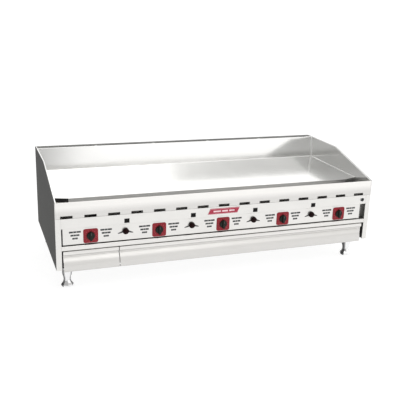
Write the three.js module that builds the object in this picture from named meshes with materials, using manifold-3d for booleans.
// Counter-top gas griddle, five 12-inch zones wide, with a welded plate, splash guards,
// a front grease trough over a pull-out drawer, and four screw-adjustable legs.
// Millimetres, +X right, +Y to the rear, +Z up, standing on z = 0.

import * as THREE from 'three';
import { mergeVertices } from 'three/addons/utils/BufferGeometryUtils.js';
import Module from 'manifold-3d';

const wasm = await Module();
wasm.setup();

// Driving dimensions
const WIDTH = 1540;
const DEPTH = 675;
const LEG_HEIGHT = 100;
const BODY_BOTTOM = LEG_HEIGHT;
const RAIL_TOP = LEG_HEIGHT + 303;
const SPLASH_TOP = LEG_HEIGHT + 394;
const SPLASH_FLAT_START = 362;
const SHEET = 2;
const GAP = 0.3;
const OVERCUT = 1;

// The front's pattern of zones sits left of the middle, which leaves a gap at its right end
const ZONES = 5;
const ZONE_PITCH = 304.8;
const PATTERN_X = -11;
const SLOTS_PER_ZONE = 3;

// Griddle plate and what is welded to it
const PLATE_TOP = LEG_HEIGHT + 284;
const PLATE_THICKNESS = 19;
const PLATE_FRONT = 119;
const PLATE_BACK = 610;
const PLATE_CORNER_WIDTH = 68;
const PLATE_CORNER_DEPTH = 22;
const GUARD_THICKNESS = 5;
const SPLASH_LEAN = 15;
const FLUE_RIB = 14;
const FLUE_EDGE = 5;
const FLUE_DROP = 5;

// Front, from the top down
const RAIL_BOTTOM = LEG_HEIGHT + 232;
const RAIL_HEM = 4;
const SLOT_WIDTH = 52;
const SLOT_HEIGHT = 12;
const FASCIA_BOTTOM = LEG_HEIGHT + 186;
const PANEL_SETBACK = 5;
const PANEL_LEFT = -741;
const PANEL_RIGHT = 720;
const PANEL_RETURN = 40;
const PANEL_FOOT_GAP = 5;
const BASE_FRONT = 20;
const EDGE_CHAMFER = 2;
const STRIP_WIDTH = 24;
const POST_DEPTH = 30;
const MID_RAIL_TOP = LEG_HEIGHT + 107.5;
const MID_RAIL_BOTTOM = LEG_HEIGHT + 87;
const MID_RAIL_RETURN = 20;
const LIP_TOP = LEG_HEIGHT + 83.5;
const LOWER_FRONT_LEFT = -740;
const LOWER_FRONT_RIGHT = 735;
const LOWER_FRONT_RETURN = 14;
// Down the lower front from the lip's top: [set back from the front, drop below the lip's top]
const LOWER_FRONT_FACE = [
  [2, 0],
  [0, 2],
  [0, 15],
  [2, 18],
  [10, 22],
  [8, 27],
  [-2, 37],
  [-8, 50],
  [-12, 68],
  [-12, 86],
  [-9, 89],
];
const LOWER_FRONT_HEIGHT = 89;
const DRAWER_SEAM_X = -497;
const FRONT_SEAM_GAP = 3;

// Controls
const DIAL_Z = LEG_HEIGHT + 146;
const DIAL_PLATE_SIZE = 64;
const DIAL_PLATE_THICKNESS = 1.5;
const DIAL_PLATE_CORNER = 9;
const KNOB_RADIUS = 18;
const KNOB_FRONT = -13;
const KNOB_DISC_FRONT = -6;
const GRIP_WIDTH = 12;
const GRIP_LENGTH = 42;
const KNOB_SKIRT = 4;
const KNOB_TAPER = 2;
const SHAFT_RADIUS = 4;
const SHAFT_FRONT = -3;
const SHAFT_CLEARANCE = 1.4;
const THERMOSTAT_DEPTH = 60;
const THERMOSTAT_HALF_WIDTH = 30;
const THERMOSTAT_HALF_HEIGHT = 22;
const BUTTON_Z = LEG_HEIGHT + 154;
const BUTTON_RADIUS = 14;
const BUTTON_STEM_RADIUS = 5;
const BUTTON_FRONT = -11;
const BUTTON_BACK = 1;
const BUTTON_STEM_LENGTH = 24;
const BUTTON_SIDES = 16;
// The domed face: [share of the radius, distance behind the front]
const BUTTON_DOME = [
  [0, 0],
  [0.45, 1],
  [0.8, 4],
  [1, 9],
];
const WINDOW_Z = LEG_HEIGHT + 202;
const WINDOW_SHIFT = 5;
const WINDOW_WIDTH = 23;
const WINDOW_HEIGHT = 20;
const WINDOW_FRONT = -0.5;
const WINDOW_BACK = 3;
const RESET_X = 725;
const RESET_Z = LEG_HEIGHT + 209;
const RESET_RADIUS = 8;
const RESET_FRONT = -4;
const RESET_BACK = 14;
const BADGE_Z = LEG_HEIGHT + 211;
const BADGE_WIDTH = 156;
const BADGE_HEIGHT = 27;
const BADGE_SLANT = 12;
const BADGE_THICKNESS = 1.5;

// Grease path
const TROUGH_FRONT = 6;
const TROUGH_BACK = 151;
const TROUGH_BOTTOM = LEG_HEIGHT + 225;
const TROUGH_SLOPE_RUN = 24;
const TROUGH_SLOPE_RISE = 32;
const DRAIN_X = -700;
const DRAIN_Y = 72;
const DRAIN_RADIUS = 26;
const CHUTE_FLANGE = 8;
const CHUTE_BOTTOM = LEG_HEIGHT + 84;
const CHUTE_SIDES = 16;
const TRAY_LEFT = -734;
const TRAY_RIGHT = -504.5;
const TRAY_LENGTH = 540;
const TRAY_TOP = LEG_HEIGHT + 72;
const TRAY_FLOOR = LEG_HEIGHT + 5;
const RUNNER_START = 24;
const RUNNER_OVERRUN = 40;
const RUNNER_FOOT = 14;
const RUNNER_HEIGHT = 36;

// Gas and heat
const SHIELD_Z = LEG_HEIGHT + 164;
const SHIELD_DROP = 10;
const BURNER_Z = LEG_HEIGHT + 202;
const BURNER_RADIUS = 16;
const BURNER_LEG_OFFSET = 70;
const BURNER_FRONT = 159;
const BURNER_BACK = 565;
const BURNER_STAND_INSET = 30;
const BURNER_STAND_HALF = 5;
const MANIFOLD_RADIUS = 13.5;
const MANIFOLD_LEFT = -650;
const INLET_X = 700;
const INLET_STAND_OUT = 30;
const INLET_HOLE_CLEARANCE = 4;
const ELBOW_RADIUS = 19;
const ELBOW_HALF_HEIGHT = 17;

// Legs
const LEG_LEFT_X = -718;
const LEG_RIGHT_X = 695;
const LEG_FRONT_Y = 61;
const LEG_REAR_Y = DEPTH - 61;
const FOOT_TOP = 34;
const STEM_RADIUS = 8;
const STEM_TOP = 66;
const STEM_HEADROOM = 3;
const LEG_FLANGE_HEIGHT = 5;
// [radius, height] up each outside: the cone to the flange, and the foot to the neck
const LEG_CONE = [
  [16, FOOT_TOP + GAP],
  [16.5, FOOT_TOP + 8],
  [20.5, FOOT_TOP + 22],
  [25, BODY_BOTTOM - LEG_FLANGE_HEIGHT - 1],
  [30, BODY_BOTTOM - LEG_FLANGE_HEIGHT],
  [30, BODY_BOTTOM - GAP],
];
const FOOT_FLARE = [
  [23, 0],
  [27, 5],
  [27, 11],
  [19, 22],
  [15.5, FOOT_TOP],
];

const HALF = WIDTH / 2;
const INNER_HALF = HALF - SHEET - GAP;
const PLATE_HALF = INNER_HALF - GUARD_THICKNESS - GAP;
const STRIP_INNER = HALF - STRIP_WIDTH;
const THERMOSTAT_FRONT = PANEL_SETBACK + SHEET + GAP;
const MANIFOLD_Y = THERMOSTAT_FRONT + THERMOSTAT_DEPTH + GAP + MANIFOLD_RADIUS;
const MANIFOLD_Z = DIAL_Z;
const SEAM_LEFT = DRAWER_SEAM_X - FRONT_SEAM_GAP / 2;
const SEAM_RIGHT = DRAWER_SEAM_X + FRONT_SEAM_GAP / 2;
const PLATE_BOTTOM = PLATE_TOP - PLATE_THICKNESS;
const REAR_INNER = DEPTH - SHEET;
const ROUND = 20;
const BORE_ROUND = 12;

// Finishes
function finish(color, roughness, metalness) {
  return new THREE.MeshStandardMaterial({ color, roughness, metalness });
}

const brushedSteel = finish(0xe6e4df, 0.35, 0.9);
const sideSteel = finish(0x8a8a85, 0.45, 0.85);
const polishedPlate = finish(0xf2f2f0, 0.12, 1.0);
const innerSteel = finish(0x9b9b98, 0.5, 0.8);
const castIron = finish(0x3b3a38, 0.8, 0.6);
const chrome = finish(0xdcdcdc, 0.12, 1.0);
const redEnamel = finish(0xb0243f, 0.35, 0.1);
const blackPlastic = finish(0x151515, 0.45, 0.0);
const darkGlass = finish(0x1d1b1c, 0.1, 0.0);

const griddle = new THREE.Group();

function add(name, geometry, material) {
  const mesh = new THREE.Mesh(geometry, material);
  mesh.name = name;
  griddle.add(mesh);
  return mesh;
}

// Booleans
function toSolid(geometry) {
  const bare = geometry.clone();
  bare.deleteAttribute('normal');
  bare.deleteAttribute('uv');
  const merged = mergeVertices(bare, 1e-4);
  const vertProperties = new Float32Array(merged.attributes.position.array);
  const triVerts = new Uint32Array(merged.index.array);
  return new wasm.Manifold(new wasm.Mesh({ numProp: 3, vertProperties, triVerts }));
}

function toGeometry(solid) {
  const mesh = solid.getMesh();
  const geometry = new THREE.BufferGeometry();
  geometry.setAttribute('position', new THREE.BufferAttribute(new Float32Array(mesh.vertProperties), 3));
  geometry.setIndex(new THREE.BufferAttribute(new Uint32Array(mesh.triVerts), 1));
  geometry.computeVertexNormals();
  return geometry;
}

function join(...geometries) {
  const solids = geometries.map(toSolid);
  return toGeometry(solids.reduce((whole, piece) => whole.add(piece)));
}

function cut(geometry, ...tools) {
  const solids = tools.map(toSolid);
  return toGeometry(solids.reduce((whole, tool) => whole.subtract(tool), toSolid(geometry)));
}

// Simple shapes placed in the body frame; the two x values may come in either order
function block(x0, x1, y0, y1, z0, z1) {
  const geometry = new THREE.BoxGeometry(Math.abs(x1 - x0), y1 - y0, z1 - z0);
  return geometry.translate((x0 + x1) / 2, (y0 + y1) / 2, (z0 + z1) / 2);
}

function rodAlongY(x, y0, y1, z, radius, sides = ROUND) {
  const geometry = new THREE.CylinderGeometry(radius, radius, y1 - y0, sides);
  return geometry.translate(x, (y0 + y1) / 2, z);
}

function rodAlongX(x0, x1, y, z, radius, sides = ROUND) {
  const geometry = new THREE.CylinderGeometry(radius, radius, x1 - x0, sides);
  return geometry.rotateZ(Math.PI / 2).translate((x0 + x1) / 2, y, z);
}

function rodAlongZ(x, y, z0, z1, radius, sides = ROUND) {
  const geometry = new THREE.CylinderGeometry(radius, radius, z1 - z0, sides);
  return geometry.rotateX(Math.PI / 2).translate(x, y, (z0 + z1) / 2);
}

// A profile of [radius, along] pairs turned about +Z, or about the axis that points to the rear
function turnedUp(profile, sides = ROUND) {
  const points = profile.map(([radius, along]) => new THREE.Vector2(radius, along));
  return new THREE.LatheGeometry(points, sides).rotateX(Math.PI / 2);
}

function turnedToRear(profile, sides = ROUND) {
  const points = profile.map(([radius, along]) => new THREE.Vector2(radius, along));
  return new THREE.LatheGeometry(points, sides);
}

// An outline of [y, z] pairs extruded from x0 to x1
function extrudeAcross(outline, x0, x1) {
  const shape = new THREE.Shape(outline.map(([y, z]) => new THREE.Vector2(y, z)));
  const geometry = new THREE.ExtrudeGeometry(shape, { depth: Math.abs(x1 - x0), bevelEnabled: false });
  const toXYZ = new THREE.Matrix4().makeBasis(
    new THREE.Vector3(0, 1, 0),
    new THREE.Vector3(0, 0, 1),
    new THREE.Vector3(1, 0, 0),
  );
  return geometry.applyMatrix4(toXYZ).translate(Math.min(x0, x1), 0, 0);
}

// An outline of [x, y] pairs extruded from z0 to z1
function extrudeUp(outline, z0, z1) {
  const shape = new THREE.Shape(outline.map(([x, y]) => new THREE.Vector2(x, y)));
  const geometry = new THREE.ExtrudeGeometry(shape, { depth: z1 - z0, bevelEnabled: false });
  return geometry.translate(0, 0, z0);
}

// The closed outline of a sheet bent along a line of [y, z] points, thickened to its left
function bentOutline(line, thickness = SHEET) {
  const points = line.map(([y, z]) => new THREE.Vector2(y, z));
  const normals = points.slice(1).map((point, i) => {
    const along = point.clone().sub(points[i]).normalize();
    return new THREE.Vector2(-along.y, along.x);
  });
  const inner = points.map((point, i) => {
    const before = normals[Math.max(i - 1, 0)];
    const after = normals[Math.min(i, normals.length - 1)];
    const mitre = before.clone().add(after).normalize();
    return point.clone().addScaledVector(mitre, thickness / mitre.dot(after));
  });
  return [...points, ...inner.reverse()].map((point) => [point.x, point.y]);
}

function bentSheet(line, x0, x1, thickness = SHEET) {
  return extrudeAcross(bentOutline(line, thickness), x0, x1);
}

// Places that repeat along the front
const spread = (count, pitch) => Array.from(
  { length: count },
  (_, i) => PATTERN_X + (i - (count - 1) / 2) * pitch,
);
const zoneCentres = spread(ZONES, ZONE_PITCH);
const zoneJoins = zoneCentres.slice(1).map((x) => x - ZONE_PITCH / 2);
const slotCentres = spread(ZONES * SLOTS_PER_ZONE, ZONE_PITCH / SLOTS_PER_ZONE);

// Cabinet
function sideOutline(front, back, bottom) {
  const slope = (SPLASH_TOP - RAIL_TOP) / SPLASH_FLAT_START;
  return [
    [front, bottom],
    [back, bottom],
    [back, SPLASH_TOP],
    [SPLASH_FLAT_START, SPLASH_TOP],
    [front, RAIL_TOP + slope * front],
  ];
}

// The side sheet is folded at the front into a strip and a return that make the corner post
function sidePanel(side) {
  const outer = side * HALF;
  const postInner = side * STRIP_INNER;
  const postBottom = BODY_BOTTOM + SHEET + 2 * GAP;
  const postTop = TROUGH_BOTTOM - 2 * GAP;
  const skin = extrudeAcross(sideOutline(0, DEPTH, BODY_BOTTOM), outer, outer - side * SHEET);
  const strip = block(outer, postInner, 0, SHEET, BODY_BOTTOM, RAIL_BOTTOM - GAP);
  const fold = block(postInner, postInner + side * SHEET, 0, POST_DEPTH, postBottom, postTop);
  return join(skin, strip, fold);
}

// The right post carries a filler that closes the gap beside the control panel
function rightSidePanel() {
  const bottom = BODY_BOTTOM + SHEET + 2 * GAP;
  const top = TROUGH_BOTTOM - 2 * GAP;
  const left = PANEL_RIGHT + 2 * GAP;
  const filler = block(left, STRIP_INNER + SHEET, POST_DEPTH - SHEET, POST_DEPTH, bottom, top);
  return join(sidePanel(1), filler);
}

function rearPanel() {
  const sheet = block(-INNER_HALF, INNER_HALF, REAR_INNER, DEPTH, BODY_BOTTOM, SPLASH_TOP);
  const holeRadius = MANIFOLD_RADIUS + INLET_HOLE_CLEARANCE;
  const front = REAR_INNER - OVERCUT;
  const inletHole = rodAlongY(INLET_X, front, DEPTH + OVERCUT, MANIFOLD_Z, holeRadius, BORE_ROUND);
  return cut(sheet, inletHole);
}

function basePan() {
  const floor = [
    [BASE_FRONT, BODY_BOTTOM],
    [REAR_INNER - GAP, BODY_BOTTOM],
  ];
  return bentSheet(floor, -INNER_HALF, INNER_HALF);
}

function frontRail() {
  const face = bentSheet(
    [
      [0, RAIL_TOP],
      [0, RAIL_BOTTOM],
    ],
    -INNER_HALF,
    INNER_HALF,
  );
  const hem = block(-INNER_HALF, INNER_HALF, 0, RAIL_HEM, RAIL_TOP - SHEET, RAIL_TOP);
  const slots = slotCentres.map((x) => block(
    x - SLOT_WIDTH / 2,
    x + SLOT_WIDTH / 2,
    -OVERCUT,
    RAIL_HEM,
    RAIL_BOTTOM - OVERCUT,
    RAIL_BOTTOM + SLOT_HEIGHT,
  ));
  return cut(join(face, hem), ...slots);
}

function upperFascia() {
  const edge = STRIP_INNER - GAP;
  const sheet = bentSheet(
    [
      [0, RAIL_BOTTOM - 2 * GAP],
      [0, FASCIA_BOTTOM],
      [PANEL_SETBACK - GAP, FASCIA_BOTTOM],
    ],
    -edge,
    edge,
  );
  const windows = zoneJoins.map((x) => block(
    x + WINDOW_SHIFT - WINDOW_WIDTH / 2,
    x + WINDOW_SHIFT + WINDOW_WIDTH / 2,
    -OVERCUT,
    SHEET + OVERCUT,
    WINDOW_Z - WINDOW_HEIGHT / 2,
    WINDOW_Z + WINDOW_HEIGHT / 2,
  ));
  const holeRadius = RESET_RADIUS + 2 * GAP;
  const resetHole = rodAlongY(RESET_X, -OVERCUT, SHEET + OVERCUT, RESET_Z, holeRadius, BORE_ROUND);
  return cut(sheet, ...windows, resetHole);
}

function controlPanel() {
  const back = PANEL_SETBACK + SHEET;
  const top = FASCIA_BOTTOM - GAP;
  const bottom = MID_RAIL_TOP + PANEL_FOOT_GAP;
  const face = block(PANEL_LEFT, PANEL_RIGHT, PANEL_SETBACK, back, bottom, top);
  const endWall = (x0) => block(x0, x0 + SHEET, PANEL_SETBACK, PANEL_RETURN, bottom, top);
  const whole = join(face, endWall(PANEL_LEFT), endWall(PANEL_RIGHT - SHEET));
  const front = PANEL_SETBACK - OVERCUT;
  const hole = (x, z, radius) => rodAlongY(x, front, back + OVERCUT, z, radius, BORE_ROUND);
  const shaftHoles = zoneCentres.map((x) => hole(x, DIAL_Z, SHAFT_RADIUS + SHAFT_CLEARANCE));
  const stemHoles = zoneJoins.map((x) => hole(x, BUTTON_Z, BUTTON_STEM_RADIUS + SHAFT_CLEARANCE));
  return cut(whole, ...shaftHoles, ...stemHoles);
}

function midRail() {
  const edge = STRIP_INNER - GAP;
  return bentSheet(
    [
      [MID_RAIL_RETURN, MID_RAIL_TOP],
      [EDGE_CHAMFER, MID_RAIL_TOP],
      [0, MID_RAIL_TOP - EDGE_CHAMFER],
      [0, MID_RAIL_BOTTOM + EDGE_CHAMFER],
      [EDGE_CHAMFER, MID_RAIL_BOTTOM],
      [MID_RAIL_RETURN, MID_RAIL_BOTTOM],
    ],
    -edge,
    edge,
  );
}

// The lower front has a finger lip along its top, a groove under the lip and a bulged face
function lowerFront(x0, x1) {
  const face = LOWER_FRONT_FACE.map(([setBack, drop]) => [setBack, LIP_TOP - drop]);
  const line = [
    [LOWER_FRONT_RETURN, LIP_TOP],
    ...face,
    [LOWER_FRONT_RETURN, LIP_TOP - LOWER_FRONT_HEIGHT],
  ];
  return bentSheet(line, x0, x1);
}

add('side_panel_left', sidePanel(-1), sideSteel);
add('side_panel_right', rightSidePanel(), sideSteel);
add('rear_panel', rearPanel(), innerSteel);
add('base_pan', basePan(), innerSteel);
add('front_rail', frontRail(), brushedSteel);
add('upper_fascia', upperFascia(), brushedSteel);
add('control_panel', controlPanel(), brushedSteel);
add('mid_rail', midRail(), brushedSteel);
add('lower_front_panel', lowerFront(SEAM_RIGHT, LOWER_FRONT_RIGHT), brushedSteel);

// Cooking top: the plate's front corners are cut back where it meets the guards
function griddlePlate() {
  const frontHalf = PLATE_HALF - PLATE_CORNER_WIDTH;
  const cornerBack = PLATE_FRONT + PLATE_CORNER_DEPTH;
  const outline = [
    [-PLATE_HALF, cornerBack],
    [-frontHalf, PLATE_FRONT],
    [frontHalf, PLATE_FRONT],
    [PLATE_HALF, cornerBack],
    [PLATE_HALF, PLATE_BACK],
    [-PLATE_HALF, PLATE_BACK],
  ];
  return extrudeUp(outline, PLATE_BOTTOM, PLATE_TOP);
}

// The splash stands upright behind the plate and leans to the rear above it
function backSplash() {
  const front = PLATE_BACK + GAP;
  const back = front + GUARD_THICKNESS;
  const outline = [
    [front, PLATE_BOTTOM],
    [back, PLATE_BOTTOM],
    [back, PLATE_TOP],
    [back + SPLASH_LEAN, SPLASH_TOP],
    [front + SPLASH_LEAN, SPLASH_TOP],
    [front, PLATE_TOP],
  ];
  return extrudeAcross(outline, -PLATE_HALF, PLATE_HALF);
}

function guard(side) {
  const outer = side * INNER_HALF;
  const inner = side * (INNER_HALF - GUARD_THICKNESS);
  const outline = sideOutline(TROUGH_FRONT, REAR_INNER - GAP, PLATE_BOTTOM);
  return extrudeAcross(outline, outer, inner);
}

function flueGrille() {
  const back = REAR_INNER - GAP;
  const front = PLATE_BACK + SPLASH_LEAN + GUARD_THICKNESS + 2 * GAP;
  const top = SPLASH_TOP - FLUE_DROP;
  const strip = block(-PLATE_HALF, PLATE_HALF, front, back, top - SHEET, top);
  const halfVent = (ZONE_PITCH - FLUE_RIB) / 2;
  const vents = zoneCentres.map((x) => block(
    x - halfVent,
    x + halfVent,
    front + FLUE_EDGE,
    back - FLUE_EDGE,
    top - 2 * SHEET,
    top + SHEET,
  ));
  return cut(strip, ...vents);
}

add('griddle_plate', griddlePlate(), polishedPlate);
add('back_splash', backSplash(), polishedPlate);
add('splash_guard_left', guard(-1), polishedPlate);
add('splash_guard_right', guard(1), polishedPlate);
add('flue_grille', flueGrille(), innerSteel);

// Grease path: trough, chute and drawer
function greaseTrough() {
  const knee = TROUGH_BOTTOM + TROUGH_SLOPE_RISE;
  const toe = TROUGH_FRONT + TROUGH_SLOPE_RUN;
  const top = PLATE_BOTTOM - GAP;
  const channel = bentSheet(
    [
      [TROUGH_FRONT, RAIL_TOP - SHEET - EDGE_CHAMFER / 2],
      [TROUGH_FRONT, knee],
      [toe, TROUGH_BOTTOM],
      [TROUGH_BACK, TROUGH_BOTTOM],
      [TROUGH_BACK, top],
    ],
    -PLATE_HALF,
    PLATE_HALF,
  );
  const inset = SHEET / 2;
  const endOutline = [
    [TROUGH_FRONT + inset, knee],
    [toe + inset, TROUGH_BOTTOM + inset],
    [TROUGH_BACK - inset, TROUGH_BOTTOM + inset],
    [TROUGH_BACK - inset, top],
    [TROUGH_FRONT + inset, top],
  ];
  const ends = [-1, 1].map((side) => extrudeAcross(
    endOutline,
    side * PLATE_HALF,
    side * (PLATE_HALF - SHEET),
  ));
  const below = TROUGH_BOTTOM - OVERCUT;
  const drain = rodAlongZ(DRAIN_X, DRAIN_Y, below, TROUGH_BOTTOM + SHEET + OVERCUT, DRAIN_RADIUS);
  return cut(join(channel, ...ends), drain);
}

function drainChute() {
  const top = TROUGH_BOTTOM - GAP;
  const profile = [
    [DRAIN_RADIUS, CHUTE_BOTTOM],
    [DRAIN_RADIUS + SHEET, CHUTE_BOTTOM],
    [DRAIN_RADIUS + SHEET, top - SHEET],
    [DRAIN_RADIUS + CHUTE_FLANGE, top - SHEET],
    [DRAIN_RADIUS + CHUTE_FLANGE, top],
    [DRAIN_RADIUS, top],
    [DRAIN_RADIUS, CHUTE_BOTTOM],
  ];
  return turnedUp(profile, CHUTE_SIDES);
}

function drawerTray(x0, x1, y0) {
  const outside = block(x0, x1, y0, y0 + TRAY_LENGTH, TRAY_FLOOR, TRAY_TOP);
  const inside = block(
    x0 + SHEET,
    x1 - SHEET,
    y0 + SHEET,
    y0 + TRAY_LENGTH - SHEET,
    TRAY_FLOOR + SHEET,
    TRAY_TOP + OVERCUT,
  );
  return cut(outside, inside);
}

// A runner is an angle whose foot passes under the tray and whose wall stands beside it
function drawerRunner(wall, inward) {
  const end = TRAY_LENGTH + RUNNER_OVERRUN;
  const floor = BODY_BOTTOM + SHEET + GAP;
  const foot = block(wall, wall + inward * RUNNER_FOOT, RUNNER_START, end, floor, floor + SHEET);
  const upright = block(wall, wall + inward * SHEET, RUNNER_START, end, floor, floor + RUNNER_HEIGHT);
  return join(foot, upright);
}

add('grease_trough', greaseTrough(), innerSteel);
add('drain_chute', drainChute(), innerSteel).position.set(DRAIN_X, DRAIN_Y, 0);
add('drawer_front', lowerFront(LOWER_FRONT_LEFT, SEAM_LEFT), brushedSteel);
add('drawer_tray', drawerTray(TRAY_LEFT, TRAY_RIGHT, LOWER_FRONT_RETURN + GAP), innerSteel);
add('drawer_runner_left', drawerRunner(TRAY_LEFT - SHEET - GAP, 1), innerSteel);
add('drawer_runner_right', drawerRunner(TRAY_RIGHT + SHEET + GAP, -1), innerSteel);

// Heat and gas
function heatShield() {
  const front = TROUGH_BACK + SHEET;
  const back = PLATE_BACK - SHEET;
  return bentSheet(
    [
      [front, PLATE_BOTTOM - SHIELD_DROP],
      [front, SHIELD_Z],
      [back, SHIELD_Z],
      [back, PLATE_BOTTOM - GAP],
    ],
    -PLATE_HALF,
    PLATE_HALF,
  );
}

// Two fired legs joined by a cross tube at the front, standing on the heat shield
function burner() {
  const offset = BURNER_LEG_OFFSET;
  const standPlaces = [BURNER_FRONT + BURNER_STAND_INSET, BURNER_BACK - BURNER_STAND_INSET];
  const crossY = BURNER_FRONT + BURNER_RADIUS + SHEET;
  const leg = (x) => rodAlongY(x, BURNER_FRONT, BURNER_BACK, BURNER_Z, BURNER_RADIUS, BORE_ROUND);
  const stand = (x, y) => block(
    x - BURNER_STAND_HALF,
    x + BURNER_STAND_HALF,
    y - BURNER_STAND_HALF,
    y + BURNER_STAND_HALF,
    SHIELD_Z + SHEET + GAP,
    BURNER_Z,
  );
  const stands = [-offset, offset].flatMap((x) => standPlaces.map((y) => stand(x, y)));
  const cross = rodAlongX(-offset, offset, crossY, BURNER_Z, BURNER_RADIUS - SHEET, BORE_ROUND);
  return join(leg(-offset), leg(offset), cross, ...stands);
}

function gasManifold() {
  const rearEnd = DEPTH + INLET_STAND_OUT;
  const radius = MANIFOLD_RADIUS;
  const across = rodAlongX(MANIFOLD_LEFT, INLET_X, MANIFOLD_Y, MANIFOLD_Z, radius, BORE_ROUND);
  const back = rodAlongY(INLET_X, MANIFOLD_Y, rearEnd, MANIFOLD_Z, radius, BORE_ROUND);
  const elbow = rodAlongZ(
    INLET_X,
    MANIFOLD_Y,
    MANIFOLD_Z - ELBOW_HALF_HEIGHT,
    MANIFOLD_Z + ELBOW_HALF_HEIGHT,
    ELBOW_RADIUS,
    BORE_ROUND,
  );
  return join(across, back, elbow);
}

function thermostat() {
  const back = THERMOSTAT_FRONT + THERMOSTAT_DEPTH;
  const body = block(
    -THERMOSTAT_HALF_WIDTH,
    THERMOSTAT_HALF_WIDTH,
    THERMOSTAT_FRONT,
    back,
    -THERMOSTAT_HALF_HEIGHT,
    THERMOSTAT_HALF_HEIGHT,
  );
  const shaftBack = THERMOSTAT_FRONT + SHEET;
  const shaft = rodAlongY(0, SHAFT_FRONT, shaftBack, 0, SHAFT_RADIUS, BORE_ROUND);
  return join(body, shaft);
}

add('heat_shield', heatShield(), innerSteel);
add('gas_manifold', gasManifold(), castIron);
zoneCentres.forEach((x, i) => {
  add(`burner_${i + 1}`, burner(), castIron).position.x = x;
  add(`thermostat_${i + 1}`, thermostat(), innerSteel).position.set(x, 0, DIAL_Z);
});

// Controls
function dialPlate() {
  const half = DIAL_PLATE_SIZE / 2;
  const corner = DIAL_PLATE_CORNER;
  const shape = new THREE.Shape();
  shape.moveTo(-half + corner, -half);
  shape.lineTo(half - corner, -half);
  shape.absarc(half - corner, -half + corner, corner, -Math.PI / 2, 0);
  shape.lineTo(half, half - corner);
  shape.absarc(half - corner, half - corner, corner, 0, Math.PI / 2);
  shape.lineTo(-half + corner, half);
  shape.absarc(-half + corner, half - corner, corner, Math.PI / 2, Math.PI);
  shape.lineTo(-half, -half + corner);
  shape.absarc(-half + corner, -half + corner, corner, Math.PI, 1.5 * Math.PI);
  const hole = new THREE.Path();
  hole.absarc(0, 0, SHAFT_RADIUS + SHAFT_CLEARANCE, 0, 2 * Math.PI);
  shape.holes.push(hole);
  const options = { depth: DIAL_PLATE_THICKNESS, bevelEnabled: false, curveSegments: 4 };
  return new THREE.ExtrudeGeometry(shape, options).rotateX(Math.PI / 2);
}

// A round skirted knob with a blind bore for the shaft and a grip bar across its face
function thermostatKnob() {
  const back = PANEL_SETBACK - DIAL_PLATE_THICKNESS - 2 * GAP;
  const bore = SHAFT_RADIUS + GAP;
  const profile = [
    [0, SHAFT_FRONT - GAP],
    [bore, SHAFT_FRONT - GAP],
    [bore, back],
    [KNOB_RADIUS, back],
    [KNOB_RADIUS, back - KNOB_SKIRT],
    [KNOB_RADIUS - KNOB_TAPER, KNOB_DISC_FRONT],
    [0, KNOB_DISC_FRONT],
  ];
  const body = turnedToRear(profile.reverse());
  const halfWidth = GRIP_WIDTH / 2;
  const halfLength = GRIP_LENGTH / 2;
  const gripBack = KNOB_DISC_FRONT + KNOB_TAPER;
  const grip = block(-halfWidth, halfWidth, KNOB_FRONT, gripBack, -halfLength, halfLength);
  return join(body, grip);
}

function igniterButton() {
  const stemEnd = PANEL_SETBACK + BUTTON_STEM_LENGTH;
  const profile = [
    ...BUTTON_DOME.map(([share, back]) => [share * BUTTON_RADIUS, BUTTON_FRONT + back]),
    [BUTTON_RADIUS, BUTTON_BACK],
    [BUTTON_STEM_RADIUS, BUTTON_BACK],
    [BUTTON_STEM_RADIUS, stemEnd],
    [0, stemEnd],
  ];
  return turnedToRear(profile, BUTTON_SIDES);
}

function viewingWindow() {
  const halfWidth = WINDOW_WIDTH / 2 - GAP;
  const halfHeight = WINDOW_HEIGHT / 2 - GAP;
  return block(-halfWidth, halfWidth, WINDOW_FRONT, WINDOW_BACK, -halfHeight, halfHeight);
}

function resetButton() {
  return rodAlongY(0, RESET_FRONT, RESET_BACK, 0, RESET_RADIUS, BORE_ROUND);
}

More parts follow.
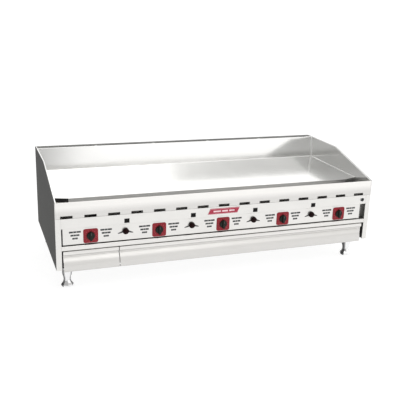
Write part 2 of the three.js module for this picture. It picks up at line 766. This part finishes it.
function badgePlate() {
  const halfHeight = BADGE_HEIGHT / 2;
  const left = -BADGE_WIDTH / 2;
  const shape = new THREE.Shape([
    new THREE.Vector2(left, -halfHeight),
    new THREE.Vector2(-left - BADGE_SLANT, -halfHeight),
    new THREE.Vector2(-left, halfHeight),
    new THREE.Vector2(left + BADGE_SLANT, halfHeight),
  ]);
  const options = { depth: BADGE_THICKNESS, bevelEnabled: false };
  return new THREE.ExtrudeGeometry(shape, options).rotateX(Math.PI / 2);
}

zoneCentres.forEach((x, i) => {
  add(`dial_plate_${i + 1}`, dialPlate(), redEnamel).position.set(x, PANEL_SETBACK - GAP, DIAL_Z);
  add(`thermostat_knob_${i + 1}`, thermostatKnob(), blackPlastic).position.set(x, 0, DIAL_Z);
});
zoneJoins.forEach((x, i) => {
  add(`igniter_button_${i + 1}`, igniterButton(), blackPlastic).position.set(x, 0, BUTTON_Z);
  const pane = add(`viewing_window_${i + 1}`, viewingWindow(), darkGlass);
  pane.position.set(x + WINDOW_SHIFT, 0, WINDOW_Z);
});
add('reset_button', resetButton(), blackPlastic).position.set(RESET_X, 0, RESET_Z);
add('badge_plate', badgePlate(), redEnamel).position.set(PATTERN_X, -GAP, BADGE_Z);

// Legs: a flanged cone bolted under the base, and a flared foot that screws into it
function leg() {
  const bore = STEM_RADIUS + GAP;
  return turnedUp([
    [0, STEM_TOP + STEM_HEADROOM],
    [bore, STEM_TOP + STEM_HEADROOM],
    [bore, FOOT_TOP + GAP],
    ...LEG_CONE,
    [0, BODY_BOTTOM - GAP],
  ]);
}

function foot() {
  return turnedUp([
    [0, 0],
    ...FOOT_FLARE,
    [STEM_RADIUS, FOOT_TOP],
    [STEM_RADIUS, STEM_TOP],
    [0, STEM_TOP],
  ]);
}

const corners = [
  ['front_left', LEG_LEFT_X, LEG_FRONT_Y],
  ['front_right', LEG_RIGHT_X, LEG_FRONT_Y],
  ['rear_left', LEG_LEFT_X, LEG_REAR_Y],
  ['rear_right', LEG_RIGHT_X, LEG_REAR_Y],
];
corners.forEach(([corner, x, y]) => {
  add(`leg_${corner}`, leg(), chrome).position.set(x, y, 0);
  add(`foot_${corner}`, foot(), chrome).position.set(x, y, 0);
});

// The origin is on the floor under the middle of the outer box
griddle.position.y = -(KNOB_FRONT + DEPTH + INLET_STAND_OUT) / 2;

export default griddle;
